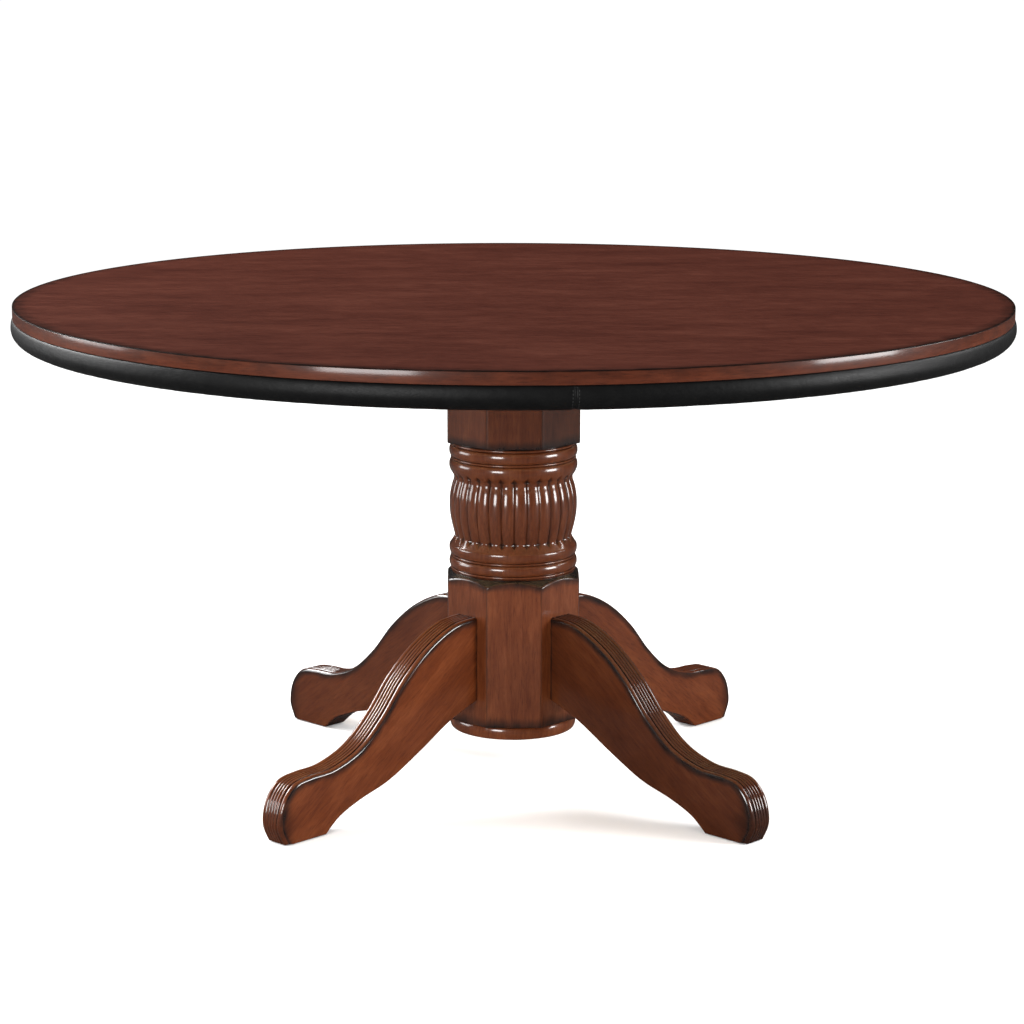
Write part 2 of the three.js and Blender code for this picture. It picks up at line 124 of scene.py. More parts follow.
# ---- material building ----
class Shader:
    """A node tree with short calls for the nodes used here."""

    def __init__(self, name):
        self.material = bpy.data.materials.new(name)
        self.material.use_nodes = True
        self.tree = self.material.node_tree
        self.surface = self.tree.nodes["Principled BSDF"]

    def node(self, kind, **settings):
        made = self.tree.nodes.new("ShaderNode" + kind)
        for key, value in settings.items():
            setattr(made, key, value)
        return made

    def feed(self, socket, value):
        if isinstance(value, bpy.types.NodeSocket):
            self.tree.links.new(value, socket)
        elif isinstance(value, tuple) and len(value) == 3 and socket.type == "RGBA":
            socket.default_value = (*value, 1)
        else:
            socket.default_value = value

    def place(self):
        return self.node("TexCoord").outputs["Object"]

    def attribute(self, name, output="Fac"):
        return self.node("Attribute", attribute_name=name).outputs[output]

    def stretch(self, vector, scale):
        made = self.node("VectorMath", operation="MULTIPLY")
        self.feed(made.inputs[0], vector)
        made.inputs[1].default_value = scale
        return made.outputs[0]

    def shift(self, vector, other):
        made = self.node("VectorMath", operation="ADD")
        self.feed(made.inputs[0], vector)
        self.feed(made.inputs[1], other)
        return made.outputs[0]

    def noise(self, vector, scale=1.0, detail=3.0, roughness=0.5, output="Fac"):
        made = self.node("TexNoise")
        self.feed(made.inputs["Vector"], vector)
        made.inputs["Scale"].default_value = scale
        made.inputs["Detail"].default_value = detail
        made.inputs["Roughness"].default_value = roughness
        return made.outputs[output]

    def cells(self, vector, scale, feature="F1", output="Distance"):
        made = self.node("TexVoronoi", feature=feature)
        self.feed(made.inputs["Vector"], vector)
        made.inputs["Scale"].default_value = scale
        return made.outputs[output]

    def math(self, operation, a, b):
        made = self.node("Math", operation=operation)
        self.feed(made.inputs[0], a)
        self.feed(made.inputs[1], b)
        return made.outputs[0]

    def span(self, value, low, high, to_low=0.0, to_high=1.0):
        made = self.node("MapRange")
        self.feed(made.inputs["Value"], value)
        made.inputs["From Min"].default_value = low
        made.inputs["From Max"].default_value = high
        made.inputs["To Min"].default_value = to_low
        made.inputs["To Max"].default_value = to_high
        return made.outputs["Result"]

    def ramp(self, value, *stops):
        made = self.node("ValToRGB")
        self.feed(made.inputs[0], value)
        elements = made.color_ramp.elements
        while len(elements) < len(stops):
            elements.new(0.5)
        for element, (position, colour) in zip(elements, stops):
            element.position = position
            element.color = (*colour, 1)
        return made.outputs["Color"]

    def mix(self, factor, a, b, blend="MIX"):
        made = self.node("Mix", data_type="RGBA", blend_type=blend)
        self.feed(made.inputs[0], factor)
        self.feed(made.inputs[6], a)
        self.feed(made.inputs[7], b)
        return made.outputs[2]

    def blend(self, *parts):
        """The sum of values, each with its own weight."""
        weighted = [self.math("MULTIPLY", value, weight) for value, weight in parts]
        total = weighted[0]
        for value in weighted[1:]:
            total = self.math("ADD", total, value)
        return total

    def dim(self, colour, value, full):
        """A colour multiplied by 0 where value is 0, and by full where it is 1."""
        shade = self.ramp(value, (0.0, (0, 0, 0)), (1.0, (full, full, full)))
        return self.mix(1.0, colour, shade, "MULTIPLY")

    def bump(self, height, strength, distance, normal=None):
        made = self.node("Bump")
        made.inputs["Strength"].default_value = strength
        made.inputs["Distance"].default_value = distance
        self.feed(made.inputs["Height"], height)
        if normal is not None:
            self.feed(made.inputs["Normal"], normal)
        return made.outputs[0]

    def finish(self, **inputs):
        for key, value in inputs.items():
            self.feed(self.surface.inputs[key.replace("_", " ")], value)
        return self.material


def rgb(*levels):
    """A linear colour from its 0 to 255 display values."""
    shares = [level / 255 for level in levels]
    return tuple(v / 12.92 if v <= 0.04045 else ((v + 0.055) / 1.055) ** 2.4 for v in shares)


def wood(name, dark, middle, light, glaze, specular=0.08, coat=0.85, polish=0.14, rough=(0.38, 0.5),
         streak=1.0):
    """Wood along attribute grain's X, tinted by a per-vertex attribute that holds each piece's own lightness
    and, on the pedestal and legs, painted shade, and darkened by attribute glaze.

    Coat is the lacquer's weight, polish its roughness; a lower streak broadens the figure."""
    s = Shader(name)
    grain = s.attribute("grain", "Vector")
    wander = s.stretch(s.noise(s.stretch(grain, (3, 8, 8)), detail=2, output="Color"), (0, 0.02, 0.02))
    grain = s.shift(grain, wander)
    broad = s.noise(s.stretch(grain, (5.5, 30 * streak, 30 * streak)), detail=4, roughness=0.55)
    fine = s.noise(s.stretch(grain, (26, 230 * streak, 230 * streak)), detail=4, roughness=0.65)
    pores = s.noise(s.stretch(grain, (70, 700, 700)), detail=3, roughness=0.6)
    mottle = s.noise(s.stretch(grain, (10, 28, 28)), detail=3, roughness=0.6)
    body = s.blend((broad, 0.35), (fine, 0.4), (mottle, 0.25))
    colour = s.ramp(body, (0.36, dark), (0.5, middle), (0.64, light))
    fleck = s.span(pores, 0.34, 0.47, 0.72, 1.0)
    colour = s.dim(colour, fleck, 1)
    colour = s.dim(colour, s.attribute("tone_and_shade"), BRIGHTEST_TONE)
    patch = s.noise(s.stretch(grain, (30, 60, 60)), detail=3)
    cover = s.math("ADD", s.attribute("glaze"), s.span(patch, 0.3, 0.7, -0.16, 0.16))
    cover = s.span(cover, 0.12, 0.95)
    colour = s.mix(cover, colour, glaze)
    height = s.blend((pores, 0.6), (fine, 0.4))
    return s.finish(
        Base_Color=colour, Roughness=s.span(fine, 0.3, 0.7, *rough), Normal=s.bump(height, 0.2, 0.0002),
        Specular_IOR_Level=specular, Coat_Weight=coat, Coat_Roughness=polish,
    )


GLAZE = (0.0042, 0.0026, 0.0022)
PLAIN_TONE, BRIGHTEST_TONE = 0.5, 2.0  # a tone of 0.5 leaves the colour as it is; a tone of 1 doubles it


def armrest_vinyl():
    s = Shader("armrest_vinyl")
    place = s.place()
    pebble = s.cells(place, 900, "SMOOTH_F1")
    crease = s.noise(place, 420, 4, 0.6)
    dimple = s.noise(place, 55, 3, 0.55)
    height = s.math("ADD", pebble, s.math("MULTIPLY", crease, 0.5))
    soft = s.bump(dimple, 0.5, 0.0016)
    return s.finish(
        Base_Color=s.ramp(dimple, (0.3, (0.0016, 0.0016, 0.0017)), (0.7, (0.0026, 0.0026, 0.0026))),
        Roughness=s.span(crease, 0.3, 0.7, 0.42, 0.56), Specular_IOR_Level=0.13,
        Normal=s.bump(height, 0.35, 0.0004, soft))


def seam_thread():
    s = Shader("seam_thread")
    twist = s.noise(s.stretch(s.place(), (2500, 2500, 900)), detail=2)
    return s.finish(
        Base_Color=s.ramp(twist, (0.3, (0.004, 0.004, 0.004)), (0.7, (0.014, 0.014, 0.014))),
        Roughness=0.7, Normal=s.bump(twist, 0.5, 0.0002))


def playing_cloth():
    s = Shader("playing_cloth")
    place = s.place()
    nap = s.noise(place, 2600, 4, 0.7)
    fibre = s.noise(s.stretch(place, (300, 1800, 300)), detail=3)
    shade = s.noise(place, 7, 3)
    weave = s.blend((nap, 0.6), (fibre, 0.4))
    base = s.ramp(weave, (0.3, rgb(8, 52, 28)), (0.7, rgb(18, 80, 45)))
    return s.finish(
        Base_Color=s.mix(s.span(shade, 0.3, 0.7, 0, 0.35), base, rgb(20, 78, 46)),
        Roughness=0.92, Sheen_Weight=0.35, Normal=s.bump(weave, 0.6, 0.0004))


def core_board():
    s = Shader("core_board")
    place = s.place()
    chips = s.noise(place, 700, 4, 0.65)
    flakes = s.cells(s.stretch(place, (1, 1.6, 1)), 240, output="Color")
    grey = s.ramp(chips, (0.3, rgb(128, 98, 66)), (0.7, rgb(168, 136, 98)))
    return s.finish(
        Base_Color=s.mix(0.12, grey, flakes), Roughness=0.8, Normal=s.bump(chips, 0.3, 0.0003))


def zinc_steel():
    s = Shader("zinc_steel")
    place = s.place()
    spangle = s.cells(place, 500, output="Color")
    scuff = s.noise(s.stretch(place, (900, 900, 200)), detail=3)
    tint = s.mix(0.12, rgb(190, 190, 182), spangle)
    return s.finish(
        Base_Color=tint, Metallic=1.0, Roughness=s.span(scuff, 0.3, 0.7, 0.25, 0.45),
        Normal=s.bump(scuff, 0.15, 0.0002))


def nylon():
    s = Shader("nylon")
    grain = s.noise(s.place(), 1500, 3)
    return s.finish(
        Base_Color=s.ramp(grain, (0.3, rgb(38, 35, 33)), (0.7, rgb(52, 48, 45))),
        Roughness=s.span(grain, 0.3, 0.7, 0.45, 0.6), Normal=s.bump(grain, 0.2, 0.0002))


def foam():
    s = Shader("foam")
    pocks = s.cells(s.place(), 1400)
    return s.finish(
        Base_Color=s.ramp(pocks, (0.1, rgb(196, 184, 142)), (0.6, rgb(228, 218, 182))),
        Roughness=0.95, Normal=s.bump(pocks, 0.6, 0.0005))


def studio_floor():
    s = Shader("studio_floor")
    cloudy = s.noise(s.place(), 1.5, 2)
    pale = s.ramp(cloudy, (0.3, (0.925, 0.925, 0.925)), (0.7, (0.94, 0.94, 0.94)))
    mirrored = s.node("LightPath").outputs["Is Glossy Ray"]
    return s.finish(
        Base_Color=s.mix(mirrored, pale, (MIRRORED_FLOOR,) * 3), Roughness=0.9, Specular_IOR_Level=0.0)


MATERIALS = {
    "veneer": wood(
        "top_veneer", (0.051, 0.0119, 0.0072), (0.071, 0.0180, 0.0108), (0.093, 0.0264, 0.0161), GLAZE,
        specular=0.04, coat=0.0, rough=(0.44, 0.54), streak=0.5),
    "band": wood(
        "edge_band", (0.036, 0.0070, 0.0022), (0.051, 0.0108, 0.0036), (0.070, 0.0166, 0.0058), GLAZE,
        coat=0.4),
    "stained": wood(
        "stained_wood", (0.052, 0.0114, 0.0028), (0.079, 0.0190, 0.0050), (0.112, 0.0312, 0.0094), GLAZE),
    "stained_leg": wood(
        "stained_leg_wood", (0.052, 0.0105, 0.0021), (0.079, 0.0174, 0.0037), (0.112, 0.0286, 0.0072), GLAZE,
        polish=0.1),
    "plywood": wood(
        "plywood", rgb(176, 138, 92), rgb(198, 162, 116), rgb(214, 184, 140), rgb(90, 62, 38),
        specular=0.3, coat=0.0, rough=(0.6, 0.75)),
    "vinyl": armrest_vinyl(),
    "thread": seam_thread(),
    "cloth": playing_cloth(),
    "core_board": core_board(),
    "steel": zinc_steel(),
    "nylon": nylon(),
    "foam": foam(),
    "floor": studio_floor(),
}


# ---- mesh building ----
RIM_STEPS = 360


def add_attributes(mesh, attributes):
    for key, values in attributes.items():
        values = np.asarray(values, np.float32)
        kind, field = ("FLOAT_VECTOR", "vector") if values.ndim == 2 else ("FLOAT", "value")
        mesh.attributes.new(key, kind, "POINT").data.foreach_set(field, values.ravel())


def new_object(name, vertices, faces, material, sharp=35, attributes=None):
    mesh = bpy.data.meshes.new(name)
    mesh.from_pydata(np.asarray(vertices).tolist(), [], faces)
    mesh.update()
    add_attributes(mesh, attributes or {})
    mesh.materials.append(MATERIALS[material])
    mesh.shade_smooth()
    mesh.set_sharp_from_angle(angle=math.radians(sharp))
    return put(name, mesh)


def grid_faces(rows, columns, wrap_rows, wrap_columns):
    """Quads of a rows by columns grid of vertices, closed on itself where asked."""
    faces = []
    for i in range(rows if wrap_rows else rows - 1):
        for j in range(columns if wrap_columns else columns - 1):
            k, m = (i + 1) % rows, (j + 1) % columns
            faces.append((i * columns + j, i * columns + m, k * columns + m, k * columns + j))
    return faces


def declare(piece, body, slot, *replaced):
    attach(piece, body)
    if replaced:
        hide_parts(*replaced)


def ellipse_arc(centre, radii, start, stop, steps):
    """Points [radius, height] on an ellipse from one angle to another, in degrees."""
    angles = np.radians(np.linspace(start, stop, steps + 1))
    return np.column_stack([centre[0] + radii[0] * np.cos(angles), centre[1] + radii[1] * np.sin(angles)])


def rounded_section(low, high, radius, steps=4):
    """A rectangle of [radius, height] points with rounded corners, anticlockwise."""
    (x0, z0), (x1, z1) = low, high
    corners = [((x1 - radius, z0 + radius), -90), ((x1 - radius, z1 - radius), 0),
               ((x0 + radius, z1 - radius), 90), ((x0 + radius, z0 + radius), 180)]
    return np.vstack([ellipse_arc(c, (radius, radius), a, a + 90, steps) for c, a in corners])


def turned_faces(segments, count, closed):
    """Faces of a section of count points turned about Z; an open section ends in two flat faces."""
    faces = grid_faces(segments, count, True, closed)
    if not closed:
        faces.append(tuple(i * count for i in range(segments))[::-1])
        faces.append(tuple(i * count + count - 1 for i in range(segments)))
    return faces


def spin(section, closed):
    """Vertices and faces of a [radius, height] section turned about Z, as finely as the table's rim."""
    section = np.asarray(section, float)
    turn = np.linspace(0, 2 * math.pi, RIM_STEPS, endpoint=False)
    x = np.outer(np.cos(turn), section[:, 0])
    y = np.outer(np.sin(turn), section[:, 0])
    z = np.outer(np.ones(RIM_STEPS), section[:, 1])
    vertices = np.stack([x, y, z], -1).reshape(-1, 3)
    return vertices, turned_faces(RIM_STEPS, len(section), closed)


def polar(vertices):
    """Distance from the axis and turning angle of each vertex."""
    return np.hypot(vertices[:, 0], vertices[:, 1]), np.arctan2(vertices[:, 1], vertices[:, 0])


def smoothstep(value, low, high):
    t = np.clip((np.asarray(value, float) - low) / (high - low), 0, 1)
    return t * t * (3 - 2 * t)


def spline(points, samples_each):
    """Points on the uniform Catmull-Rom curve through points, and its unit tangents."""
    points = np.asarray(points, float)
    last = len(points) - 1
    out = []
    for i in range(last):
        p0, p1, p2, p3 = points[max(i - 1, 0)], points[i], points[i + 1], points[min(i + 2, last)]
        t = (np.arange(samples_each) / samples_each)[:, None]
        v1, v2 = (p2 - p0) / 2, (p3 - p1) / 2
        out.append((2 * p1 - 2 * p2 + v1 + v2) * t**3 + (-3 * p1 + 3 * p2 - 2 * v1 - v2) * t**2 + v1 * t + p1)
    curve = np.vstack([*out, points[-1:]])
    tangent = np.gradient(curve, axis=0)
    return curve, tangent / np.linalg.norm(tangent, axis=1)[:, None]


# ---- dining top ----
HUB = 0.02  # radius of the small flat face at the middle of a turned disc


def add_dining_top():
    """Face veneer and lipping with a soft dark line where they meet, over the board that they hide."""
    low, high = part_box("dining_top_veneer")
    radius = high.x
    ease = 0.5 * MM
    corner = ellipse_arc((radius - ease, high.z - ease), (ease, ease), 0, 90, 3)
    rings = [[r, high.z] for r in (0.752, 0.745, 0.738, 0.730, 0.715, 0.55, 0.3, HUB)]
    vertices, faces = spin([[HUB, low.z], [radius, low.z], *corner, *rings], False)
    distance, _ = polar(vertices)
    glaze = 0.42 * smoothstep(distance, radius - 30 * MM, radius - 8 * MM)
    glaze += 0.5 * smoothstep(distance, radius - 4 * MM, radius)
    veneer = new_object("dining_top_face", vertices, faces, "veneer", attributes={
        "grain": vertices, "glaze": glaze, "tone_and_shade": np.full(len(vertices), PLAIN_TONE)})
    declare(veneer, TOP, "top_veneer", "dining_top_veneer")

    band_low, band_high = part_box("dining_top_edge_band")
    core_low, core_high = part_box("dining_top_core")
    inner = core_high.x + 0.3 * MM
    section = rounded_section((inner, band_low.z), (radius, band_high.z + 0.2 * MM), 0.9 * MM)
    vertices, faces = spin(section, True)
    distance, angle = polar(vertices)
    along = np.column_stack([angle * radius, distance, vertices[:, 2]])
    glaze = 0.75 * smoothstep(vertices[:, 2], band_high.z - 1.4 * MM, band_high.z)
    glaze += 0.5 * (1 - smoothstep(vertices[:, 2], band_low.z, band_low.z + 1.2 * MM))
    band = new_object("dining_top_lipping", vertices, faces, "band", attributes={
        "grain": along, "glaze": glaze, "tone_and_shade": np.full(len(vertices), PLAIN_TONE)})
    declare(band, TOP, "edge_band_wood", "dining_top_edge_band")

    section = [[HUB, core_low.z], [core_high.x, core_low.z], [core_high.x, core_high.z], [HUB, core_high.z]]
    vertices, faces = spin(section, False)
    core = new_object("dining_top_board", vertices, faces, "core_board")
    declare(core, TOP, "core_board", "dining_top_core")


# ---- pedestal ----
# Millimetres and degrees.
APOTHEM = 102.0
HOLLOW = 66.0
STAVES = 8
HALF_STAVE = 180 / STAVES
STEP = 0.75  # degrees between the staves' vertex columns, a divisor of the reed pitch and of half a stave
GLUE_GAP = 0.02  # how far each stave's sides stand back from the glue line
REED_PITCH = 12.0
REED_DEPTH, GOUGE_DEPTH = 3.5, 5.0
REED_START, REED_END = (381, 391), (484, 494)  # heights between which the reeds reach full depth, and fade
PEDESTAL_FOOT = 84.0
LOWER_BLOCK, UPPER_BLOCK = (105.0, 333.0), 541.0  # heights of the lower block's ends and the upper one's foot
BLOCK_EASE = [(1.4, 0.0), (0.7, 0.15), (0.2, 0.6), (0.0, 1.4)]  # inset and rise of a block's eased end edge
SHOULDER_SLOPE, SHOULDER_FOOT = 0.83, 96.6  # the cone that ends the lower block, and the radius it runs in to
BLOCK_STRAIGHT = 300.0  # below this height the lower block's rows are level
CROWN, ROOT, RING = 99.6, 95.0, 97.4  # radius of a bead's crown, of the grooves, and of the thin rings
VASE_SIDE = [(99.1, 503.5), (98.2, 496), (95.7, 490.7), (93.5, 487.3), (92.2, 482.8), (92.7, 478.1),
             (95.7, 468.7), (98.3, 454.5), (99.1, 439), (98.0, 423), (95.1, 407.4), (91.9, 394.8),
             (91.2, 390.1), (94.3, 383.8), (98.0, 377.5)]
VASE_ENDS, BELLY = (380, 495), 438  # heights of the vase's two ends, and where it is fullest
FOOT_GROOVE, TOP_GROOVE = (102.6, 105.5), 538.5  # heights of the grooves next to the two blocks
STAVE_TONES = [0.50, 0.47, 0.53, 0.49, 0.46, 0.44, 0.49, 0.50]
# Each board's lightness on the upper block, set darker than below as painted shade from the table top
# overhead.
UPPER_SHADED_TONES = [0.34, 0.40, 0.46, 0.40, 0.44, 0.38, 0.34, 0.20]
TURNED_TONE = 0.46


def bead(low, high, root=ROOT, crown=CROWN, steps=24):
    """A bead's outline as [radius, height], from its lower groove to its upper one."""
    return ellipse_arc((root, (low + high) / 2), (crown - root, (high - low) / 2), -90, 90, steps)


def thin_ring(low, high):
    return bead(low, high, crown=RING, steps=10)


def resample(outline, spacing, passes):
    """Evenly spaced points on an outline, with its sharp hollows eased by a few smoothing passes."""
    outline = np.asarray(outline, float)
    gone = np.append(0, np.cumsum(np.linalg.norm(np.diff(outline, axis=0), axis=1)))
    even = np.linspace(0, gone[-1], int(gone[-1] / spacing) + 1)
    points = np.column_stack([np.interp(even, gone, outline[:, i]) for i in range(2)])
    for _ in range(passes):
        points[1:-1] = (points[:-2] + 2 * points[1:-1] + points[2:]) / 4
    return points


def turned_outline(low, high):
    """[radius, height] between the two blocks: beads, thin rings, the vase and its coves."""
    side, _ = spline(VASE_SIDE[::-1], 7)
    lower_bead, upper_bead = bead(362.4, 381.5), bead(493.5, 512.0)
    return resample(np.vstack([
        [[SHOULDER_FOOT, low + 4.4]],
        thin_ring(low + 5, 342.0),
        bead(342.0, 358.4),
        thin_ring(358.4, 362.4),
        lower_bead[lower_bead[:, 1] < 377],
        side[(side[:, 1] > 377.5) & (side[:, 1] < 495)],
        upper_bead[upper_bead[:, 1] > 496],
        thin_ring(512.0, 516.0),
        bead(516.0, 534.2),
        thin_ring(534.2, 538.6),
        [[95.6, 540.0], [97.0, high]],
    ]), 0.7, 1)


def pedestal_outline(top):
    """Rows [radius or apothem, height, octagonal] up the outside of the pedestal, in millimetres."""
    low, high = LOWER_BLOCK
    upper = UPPER_BLOCK
    foot = np.vstack([
        [[94.5, PEDESTAL_FOOT], [95.5, PEDESTAL_FOOT]], bead(84.3, 103.6, crown=98.8), [[95.5, low]]])
    rows = [[r, z, 0] for r, z in resample(foot, 0.9, 2)]
    rows += [[APOTHEM - inset, low + rise, 1] for inset, rise in BLOCK_EASE]
    rows += [[APOTHEM, low + z, 1] for z in (4, 8, 12, 16, 20, 26, 40, 80, 120, 160, 195)]
    rows += [[APOTHEM, high - z, 1] for z in (28, 24, 20, 16, 12, 8, 4)]
    rows += [[APOTHEM - inset, high - rise, 1] for inset, rise in reversed(BLOCK_EASE)]
    rows += [[SHOULDER_FOOT, high, share] for share in (0.8, 0.6, 0.4, 0.2)]
    rows += [[r, z, 0] for r, z in turned_outline(high, upper)]
    rows += [[APOTHEM - inset, upper + rise, 1] for inset, rise in BLOCK_EASE]
    rows += [[APOTHEM, upper + z, 1] for z in (4, 8, 12, 16, 20, 26, 50, 80)]
    rows += [[APOTHEM, top, 1]]
    return np.array(rows)


def reed_depth(radius, height, degrees):
    """How deep the reeding cuts below the turned outline, and how dark its glaze is, 0 to 1."""
    across = 1 - np.abs(((degrees / REED_PITCH) % 1) * 2 - 1)  # 1 in a groove's bottom, 0 on a reed's crown
    lobe = (1 - np.sqrt(1 - (0.985 * across) ** 2)) / (1 - math.sqrt(1 - 0.985**2))
    along = smoothstep(height, *REED_START) * (1 - smoothstep(height, *REED_END))
    lobes = REED_DEPTH * along * lobe
    lower_end = (1 - smoothstep(height, 391, 397)) * np.clip((height - 379) / 10, 0, 1)
    upper_end = smoothstep(height, 481, 488) * np.clip((498 - height) / 9, 0, 1)
    gouge = np.maximum(lower_end, upper_end)
    tips = np.maximum(GOUGE_DEPTH * across**1.3 - GOUGE_DEPTH * (1 - gouge) - 1.2, 0) * (gouge > 0)
    shade = np.maximum(0.62 * lobe * along, 0.7 * smoothstep(tips, 0.1, 2.2))
    return np.maximum(lobes, tips), shade


def shouldered(out, height, octagonal):
    """Heights with the lower block's top end turned to a cone, so that it dips towards the arrises."""
    top = LOWER_BLOCK[1]
    cone = top - (out - APOTHEM) * SHOULDER_SLOPE
    stretch = (cone - BLOCK_STRAIGHT) / (top - BLOCK_STRAIGHT)
    dipped = BLOCK_STRAIGHT + (height - BLOCK_STRAIGHT) * stretch
    height = np.where((octagonal > 0.99) & (height > BLOCK_STRAIGHT) & (height <= top), dipped, height)
    return np.where((octagonal > 0.01) & (octagonal < 0.99), cone, height)


def add_staves():
    """The eight glued staves, each centred on a face of the octagonal blocks."""
    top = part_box("pedestal_stave_1")[1].z / MM
    rows = pedestal_outline(top)
    half = HALF_STAVE
    local = np.linspace(-half, half, int(round(2 * half / STEP)) + 1)
    for index in range(STAVES):
        centre = index * 2 * half
        radius, height, octagonal = (np.repeat(rows[:, i:i + 1], len(local), 1) for i in range(3))
        angle = np.repeat(local[None, :], len(rows), 0)
        face = np.where(octagonal > 0.99, radius, APOTHEM - BLOCK_EASE[0][0])
        blocky = np.minimum(face / np.cos(np.radians(angle)), face / math.cos(math.radians(half)) - 0.75)
        cut, groove = reed_depth(radius, height, angle + centre)
        out = octagonal * blocky + (1 - octagonal) * (radius - cut)
        height = shouldered(out, height, octagonal)
        inner = HOLLOW / np.cos(np.radians(local))
        out = np.vstack([out, inner, inner])
        height = np.vstack([height, np.full_like(inner, top), np.full_like(inner, PEDESTAL_FOOT)])
        angle = np.vstack([angle, local, local])
        squeeze = np.degrees(GLUE_GAP / out) * np.sign(angle) * (np.abs(angle) > half - 0.01)
        turn = np.radians(angle - squeeze + centre)
        vertices = np.stack([out * np.cos(turn), out * np.sin(turn), height], -1).reshape(-1, 3) * MM
        faces = grid_faces(len(out), len(local), True, False)
        count = len(local)
        faces.append(tuple(i * count for i in range(len(out))))
        faces.append(tuple(i * count + count - 1 for i in range(len(out)))[::-1])

        glaze = stave_glaze_and_shade(rows, angle[:-2], groove, octagonal)
        glaze = np.vstack([glaze, np.zeros((2, count))]).ravel()
        tangential = out * np.radians(angle)
        along = np.stack([height, tangential + 300 * index, out], -1).reshape(-1, 3) * MM
        piece = new_object(f"stave_{index + 1}", vertices, faces, "stained", sharp=32, attributes={
            "grain": along, "glaze": glaze, "tone_and_shade": stave_tone_and_shade(index, height.ravel())})
        declare(piece, BASE, "stained_wood", f"pedestal_stave_{index + 1}")


def stave_tone_and_shade(index, height):
    """Each board's own lightness, evened out on the turned stretch, with painted shade that darkens it
    towards the top of the pedestal, under the table top.
    """
    low, upper = LOWER_BLOCK[1], UPPER_BLOCK
    raised = smoothstep(height, low, upper)
    turned = smoothstep(height, low - 2, low + 2) * (1 - smoothstep(height, upper - 3, upper))
    board = STAVE_TONES[index] * (1 - raised) + UPPER_SHADED_TONES[index] * raised
    board = board * (1 - turned) + TURNED_TONE * turned
    # Painted shade: everything from the lower block's top upwards is darker, as under the table top.
    return board * (1.04 - 0.22 * smoothstep(height, low - 20, low + 20))


def stave_glaze_and_shade(rows, angle, groove, octagonal):
    """Dark glaze in the grooves, under the shoulders, round the blocks' ends and on their arrises, and
    painted shade in the recess under the upper block.
    """
    radius, height = rows[:, 0], rows[:, 1]
    low, high = LOWER_BLOCK
    upper = UPPER_BLOCK
    band = 0.8 * (1 - smoothstep(height - upper, 1, 20)) * (height >= upper)
    band = np.maximum(band, 0.75 * (1 - smoothstep(high - height, 0, 17)) * (height <= high))
    band = np.maximum(band, 0.8 * (1 - smoothstep(height - low, 1, 24)) * (height >= low))
    band *= rows[:, 2] > 0.99
    turned = (rows[:, 2] < 0.01) & (height > high) & (height < upper)
    recess = (1 - smoothstep(radius, 95.2, 97.2)) * turned
    recess *= (height < VASE_ENDS[0]) | (height > VASE_ENDS[1])
    # The cone shoulder and the recess under the upper block, both black; in the recess this is partly painted
    # shade.
    shoulder = (rows[:, 2] > 0.01) & (rows[:, 2] < 0.99) | (height > TOP_GROOVE) & (height < upper + 0.5)
    flat = np.maximum.reduce([band, 0.85 * recess, shoulder * 1.15])
    flat = np.maximum(flat, 0.8 * ((height > FOOT_GROOVE[0]) & (height < FOOT_GROOVE[1])))
    edge = smoothstep(np.abs(angle), HALF_STAVE - 1.2, HALF_STAVE - 0.2) * (octagonal > 0.99) * 0.55
    fade = 0.55 + 0.45 * smoothstep(np.abs(rows[:, 1:2] - BELLY), 20, 50)
    return np.maximum.reduce([np.repeat(flat[:, None], angle.shape[1], 1), edge, groove * fade])


# ---- legs ----
# Millimetres; outlines are [distance from the pedestal's axis, height].
FOOT = 1.5
LEG_CREST = [(102.3, 277), (150, 272), (205, 246), (256, 205), (300, 156), (346, 118), (398, 99), (444, 96),
             (474, 91), (494, 74), (505, 50), (507, 26), (496, FOOT)]
LEG_UNDERSIDE = [(102.3, 146), (160, 124), (230, 86), (290, 57), (348, 40), (390, 23), (418, FOOT)]
FOOT_TIP = 482
HALF_WIDTH = 22.2
SIDE_EDGE = 4.2  # how far below the crest the side faces start
UNDER_EASE = 1.2
REEDS = [(2.9, 2.9, 1.8), (8.7, 2.9, 1.8), (16.6, 5.0, 3.4)]  # middle, half width and depth of each, one side
REED_FADE = 0.75  # how far the reeds have faded out at the foot of the toe
# Each leg's own lightness; the rear left's is set lower partly as painted shade, for the shade of the table
# top on its upper part.
LEG_TONES_AND_SHADE = {"rear_right": 0.46, "rear_left": 0.31, "front_left": 0.51, "front_right": 0.25}
GRAIN_TILT = math.radians(-36)
LEG_PLACES = {"rear_right": 45, "rear_left": 135, "front_left": 225, "front_right": 315}


def crest_section():
    """[distance from the middle, depth below the crest, glaze] across the reeded edge."""
    side = []
    for middle, half, depth in REEDS:
        for t in np.sin(np.linspace(-math.pi / 2, math.pi / 2, 15))[:-1]:
            fall = (1 - math.sqrt(1 - (0.97 * t) ** 2)) / 0.757
            side.append((middle + t * half, depth * fall, 0.95 * abs(t) ** 2.4))
    side.append((HALF_WIDTH, SIDE_EDGE, 0.8))
    side = np.array(side)
    mirrored = side[::-1] * (-1, 1, 1)
    return np.vstack([mirrored, side[1:]])


def toe_front_painted_shade(vertices):
    """Painted shade: darker colour low down on the toe's front, where the reeds have faded out."""
    along, _, height = vertices.T
    return 1 - 0.45 * smoothstep(along, 478, 494) * (1 - smoothstep(height, 45, 75))


